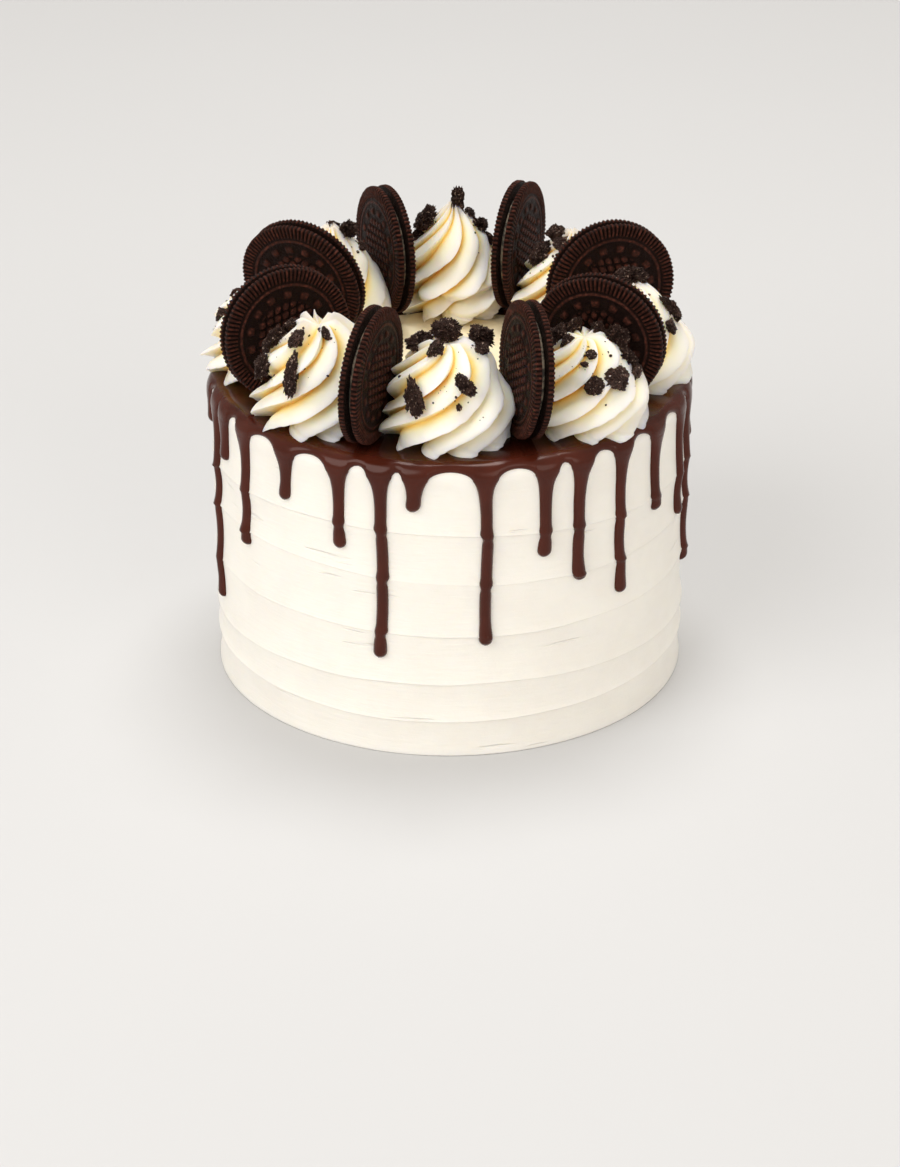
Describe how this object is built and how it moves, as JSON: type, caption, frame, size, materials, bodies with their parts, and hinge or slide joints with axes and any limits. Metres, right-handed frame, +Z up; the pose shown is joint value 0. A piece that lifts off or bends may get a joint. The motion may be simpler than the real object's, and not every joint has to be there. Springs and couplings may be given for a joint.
{
  "type": "cookies and cream drip cake",
  "caption": "Tall round frosted layer cake with ganache drips, a ring of piped cream swirls, sandwich cookies standing on edge and broken cookie pieces.",
  "frame": {"origin": "middle of the cake's flat base, on the surface that it stands on", "axes": "+Z up along the cake's own axis, the pictured front towards -Y, +X to the viewer's right"},
  "size_m": [0.1664, 0.165, 0.1506],
  "materials": {
    "frosting": "smooth white buttercream with a soft sheen, scraped in shallow bands",
    "ganache": "satin dark chocolate ganache",
    "piped_cream": "ivory piped buttercream, smooth with sharp ridges",
    "wafer": "dry dark cocoa biscuit",
    "filling": "dry vanilla cream"
  },
  "bodies": {
    "root": {"frosted_cake": "frosting", "ganache_drip": "ganache", "cookie_1_wafer_a": "wafer", "cookie_1_wafer_b": "wafer", "cookie_1_filling": "filling", "cookie_2_wafer_a": "wafer", "cookie_2_wafer_b": "wafer", "cookie_2_filling": "filling", "cookie_3_wafer_a": "wafer", "cookie_3_wafer_b": "wafer", "cookie_3_filling": "filling", "cookie_4_wafer_a": "wafer", "cookie_4_wafer_b": "wafer", "cookie_4_filling": "filling", "cookie_5_wafer_a": "wafer", "cookie_5_wafer_b": "wafer", "cookie_5_filling": "filling", "cookie_6_wafer_a": "wafer", "cookie_6_wafer_b": "wafer", "cookie_6_filling": "filling", "cookie_7_wafer_a": "wafer", "cookie_7_wafer_b": "wafer", "cookie_7_filling": "filling", "cookie_8_wafer_a": "wafer", "cookie_8_wafer_b": "wafer", "cookie_8_filling": "filling", "swirl_1": "piped_cream", "swirl_2": "piped_cream", "swirl_3": "piped_cream", "swirl_4": "piped_cream", "swirl_5": "piped_cream", "swirl_6": "piped_cream", "swirl_7": "piped_cream", "swirl_8": "piped_cream", "cookie_piece_1": "wafer", "cookie_piece_2": "wafer", "cookie_piece_3": "wafer", "cookie_piece_4": "wafer", "cookie_piece_5": "wafer", "cookie_piece_6": "wafer", "cookie_piece_7": "wafer", "cookie_piece_8": "wafer", "cookie_piece_9": "wafer", "cookie_piece_10": "wafer", "cookie_piece_11": "wafer", "cookie_piece_12": "wafer", "cookie_piece_13": "wafer", "cookie_piece_14": "wafer", "cookie_piece_15": "wafer", "cookie_piece_16": "wafer", "cookie_piece_17": "wafer", "cookie_piece_18": "wafer"}
  },
  "joints": []
}
